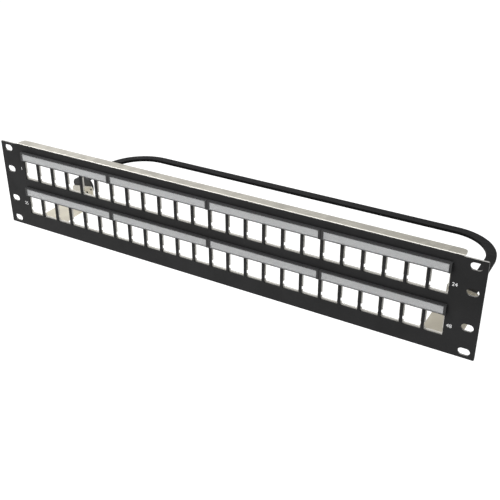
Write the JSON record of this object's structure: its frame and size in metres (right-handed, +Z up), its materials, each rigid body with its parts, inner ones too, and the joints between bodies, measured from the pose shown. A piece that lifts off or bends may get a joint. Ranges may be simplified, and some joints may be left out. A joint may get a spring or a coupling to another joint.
{
  "type": "patch panel",
  "caption": "Two-unit 19-inch rack patch panel: black front plate with two rows of empty jack windows, flip-up label covers, a folded steel chassis and a rear cable bar.",
  "frame": {"origin": "centre of the rack slot pattern, on the rear face of the front plate, which seats on the rack rails", "axes": "+X to the right seen from the front, +Y to the rear through the panel, +Z up"},
  "size_m": [0.4826, 0.178, 0.0882],
  "materials": {
    "plate_black": "fine matt powder coat",
    "galvanised": "satin galvanised sheet with a faint grain",
    "zinc_steel": "bright zinc plate",
    "brass_nut": "dull brass",
    "bar_black": "satin black powder coat",
    "clip_black": "moulded black nylon",
    "label_black": "moulded black plastic, slightly glossy",
    "label_clear": "clear moulded plastic",
    "label_card": "light grey printed card"
  },
  "bodies": {
    "root": {"front_plate": "plate_black", "rear_chassis": "galvanised", "plate_studs": "zinc_steel", "stud_washers": "zinc_steel", "stud_nuts": "zinc_steel", "earth_stud": "zinc_steel", "earth_washer": "zinc_steel", "earth_nut": "brass_nut", "cable_bar": "bar_black", "bar_clip_left": "clip_black", "bar_clip_right": "clip_black", "bar_screw_left": "zinc_steel", "bar_screw_right": "zinc_steel", "label_frame_1": "label_black", "label_frame_2": "label_black", "label_frame_3": "label_black", "label_frame_4": "label_black", "label_frame_5": "label_black", "label_frame_6": "label_black", "label_frame_7": "label_black", "label_frame_8": "label_black"},
    "cover_1": {"label_cover_1": "label_clear", "label_card_1": "label_card"},
    "cover_2": {"label_cover_2": "label_clear", "label_card_2": "label_card"},
    "cover_3": {"label_cover_3": "label_clear", "label_card_3": "label_card"},
    "cover_4": {"label_cover_4": "label_clear", "label_card_4": "label_card"},
    "cover_5": {"label_cover_5": "label_clear", "label_card_5": "label_card"},
    "cover_6": {"label_cover_6": "label_clear", "label_card_6": "label_card"},
    "cover_7": {"label_cover_7": "label_clear", "label_card_7": "label_card"},
    "cover_8": {"label_cover_8": "label_clear", "label_card_8": "label_card"}
  },
  "joints": [
    {"name": "cover_1_hinge", "type": "hinge", "parent": "root", "child": "cover_1", "pos_m": [-0.16155, -0.0036, 0.0358], "axis": [-1, 0, 0], "range_deg": [0, 95]},
    {"name": "cover_2_hinge", "type": "hinge", "parent": "root", "child": "cover_2", "pos_m": [-0.05385, -0.0036, 0.0358], "axis": [-1, 0, 0], "range_deg": [0, 95]},
    {"name": "cover_3_hinge", "type": "hinge", "parent": "root", "child": "cover_3", "pos_m": [0.05385, -0.0036, 0.0358], "axis": [-1, 0, 0], "range_deg": [0, 95]},
    {"name": "cover_4_hinge", "type": "hinge", "parent": "root", "child": "cover_4", "pos_m": [0.16155, -0.0036, 0.0358], "axis": [-1, 0, 0], "range_deg": [0, 95]},
    {"name": "cover_5_hinge", "type": "hinge", "parent": "root", "child": "cover_5", "pos_m": [-0.16155, -0.0036, -0.0016], "axis": [-1, 0, 0], "range_deg": [0, 95]},
    {"name": "cover_6_hinge", "type": "hinge", "parent": "root", "child": "cover_6", "pos_m": [-0.05385, -0.0036, -0.0016], "axis": [-1, 0, 0], "range_deg": [0, 95]},
    {"name": "cover_7_hinge", "type": "hinge", "parent": "root", "child": "cover_7", "pos_m": [0.05385, -0.0036, -0.0016], "axis": [-1, 0, 0], "range_deg": [0, 95]},
    {"name": "cover_8_hinge", "type": "hinge", "parent": "root", "child": "cover_8", "pos_m": [0.16155, -0.0036, -0.0016], "axis": [-1, 0, 0], "range_deg": [0, 95]}
  ]
}
